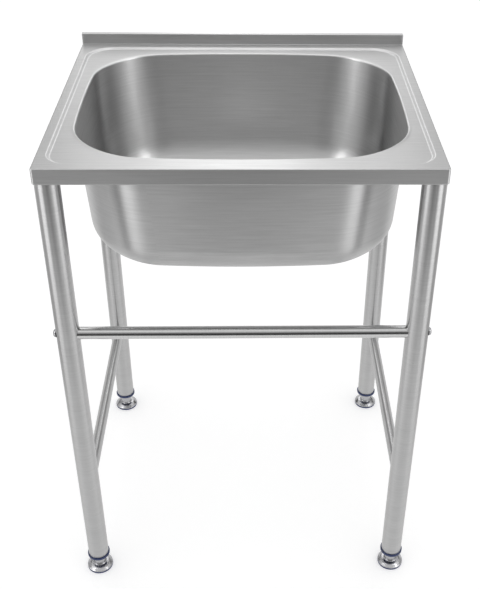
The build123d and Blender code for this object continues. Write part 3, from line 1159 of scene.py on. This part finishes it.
def turned(name, section, centre, material):
    """A solid turned from a section of (radius, height) points, listed along its outline."""
    lathe = bmesh.new()
    rows = []
    for radius, height in section:
        angles = spread(0, 2 * pi, TURNED_STEPS if radius else 1)
        rows.append(
            [
                lathe.verts.new((centre.x + radius * cos(a), centre.y + radius * sin(a), height))
                for a in angles
            ]
        )
    for lower, upper in zip(rows, rows[1:]):
        for i in range(TURNED_STEPS):
            j = (i + 1) % TURNED_STEPS
            ends = [lower[i % len(lower)], lower[j % len(lower)]]
            ends += [upper[j % len(upper)], upper[i % len(upper)]]
            lathe.faces.new(list(dict.fromkeys(ends)))
    bmesh.ops.recalc_face_normals(lathe, faces=lathe.faces)
    mesh = bpy.data.meshes.new(name)
    lathe.to_mesh(mesh)
    lathe.free()
    mesh.materials.append(material)
    mesh.shade_smooth()
    mesh.set_sharp_from_angle(angle=SHARP_ANGLE)
    piece = bpy.data.objects.new(name, mesh)
    scene.collection.objects.link(piece)
    return piece


# The thread's ridge is a helix swept with a small round section, half sunk into the stem's core.
thread_tree, given, result = new_geometry(
    "rolled_thread",
    {
        "Centre": "Vector",
        "Crest Radius": "Float",
        "Ridge Radius": "Float",
        "Turns": "Float",
        "Length": "Float",
        "Material": "Material",
    },
)
middle_radius = add_node(
    thread_tree,
    "ShaderNodeMath",
    {"operation": "SUBTRACT"},
    {0: given.outputs["Crest Radius"], 1: given.outputs["Ridge Radius"]},
)
helix = add_node(
    thread_tree,
    "GeometryNodeCurveSpiral",
    links={
        "Rotations": given.outputs["Turns"],
        "Start Radius": middle_radius.outputs[0],
        "End Radius": middle_radius.outputs[0],
        "Height": given.outputs["Length"],
    },
    values={"Resolution": THREAD_TURN_STEPS},
)
ridge_section = add_node(
    thread_tree,
    "GeometryNodeCurvePrimitiveCircle",
    links={"Radius": given.outputs["Ridge Radius"]},
    values={"Resolution": THREAD_SIDES},
)
ridge = add_node(
    thread_tree,
    "GeometryNodeCurveToMesh",
    links={"Curve": helix.outputs[0], "Profile Curve": ridge_section.outputs[0]},
    values={"Fill Caps": True},
)
placed = add_node(
    thread_tree,
    "GeometryNodeTransform",
    links={"Geometry": ridge.outputs[0], "Translation": given.outputs["Centre"]},
)
finish_tree(thread_tree, result, placed.outputs[0], given.outputs["Material"])

# The bell's crown from its rim inwards, its hollow run into the neck, and the whole foot's section.
crown = [
    (BELL_RADIUS - BELL_EDGE * (1 - cos(a)), BELL_RIM + BELL_EDGE * sin(a))
    for a in spread(0, pi / 2, EDGE_STEPS)
]
for share in spread(0, 1, CROWN_STEPS)[1:]:
    rise = (BELL_HEIGHT - BELL_RIM - BELL_EDGE) * (share + BELL_BULGE * sin(pi * share))
    reach = (BELL_RADIUS - BELL_EDGE - NECK_RADIUS - NECK_ROOT) * share
    crown.append((BELL_RADIUS - BELL_EDGE - reach, BELL_RIM + BELL_EDGE + rise))
blend_up = [
    (
        NECK_RADIUS + NECK_ROOT - NECK_ROOT * sin(a),
        BELL_HEIGHT + NECK_ROOT - NECK_ROOT * cos(a),
    )
    for a in spread(0, pi / 2, ROOT_STEPS) + [pi / 2]
]
seat_radius = BELL_RADIUS - PAD_WALL
core_radius = THREAD_RADIUS - THREAD_DEPTH
foot_section = [
    (0, BELL_BASE),
    (seat_radius, BELL_BASE),
    (seat_radius, PAD_LIP + LIP_GAP),
    (BELL_RADIUS, PAD_LIP + LIP_GAP),
    *crown,
    *blend_up,
    (NECK_RADIUS, NECK_TOP - NECK_EDGE),
    (NECK_RADIUS - NECK_EDGE_MIDDLE, NECK_TOP - NECK_EDGE_MIDDLE),
    (NECK_RADIUS - NECK_EDGE, NECK_TOP),
    (core_radius, NECK_TOP),
    (core_radius, STEM_TOP - STEM_POINT),
    (core_radius - STEM_POINT_REACH, STEM_TOP),
    (0, STEM_TOP),
]
pad_section = [
    (0, 0),
    (BELL_RADIUS - PAD_EDGE, 0),
    (BELL_RADIUS, PAD_EDGE),
    (BELL_RADIUS, PAD_LIP),
    (seat_radius + PAD_GAP, PAD_LIP),
    (seat_radius + PAD_GAP, BELL_BASE - PAD_GAP),
    (0, BELL_BASE - PAD_GAP),
]
thread_length = STEM_TOP - NECK_TOP - 2 * THREAD_START
for row, side in corners:
    low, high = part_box(f"foot_{row}_{side}")
    centre = (low + high) / 2
    body = f"screw_foot_{row}_{side}"
    foot_piece = turned(f"turned_foot_{row}_{side}", foot_section, centre, chrome)
    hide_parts(f"foot_{row}_{side}")
    thread = grown_mesh(
        f"thread_{row}_{side}",
        thread_tree,
        {
            "Centre": (centre.x, centre.y, NECK_TOP + THREAD_START),
            "Crest Radius": THREAD_RADIUS,
            "Ridge Radius": THREAD_DEPTH / 2 + RIDGE_SINK,
            "Turns": thread_length / THREAD_PITCH,
            "Length": thread_length,
            "Material": chrome,
        },
    )
    pad = turned(f"lipped_pad_{row}_{side}", pad_section, centre, navy)
    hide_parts(f"foot_pad_{row}_{side}")
    for piece, slot in ((foot_piece, "foot_chrome"), (thread, "foot_chrome"), (pad, "pad_plastic")):
        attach(piece, body)
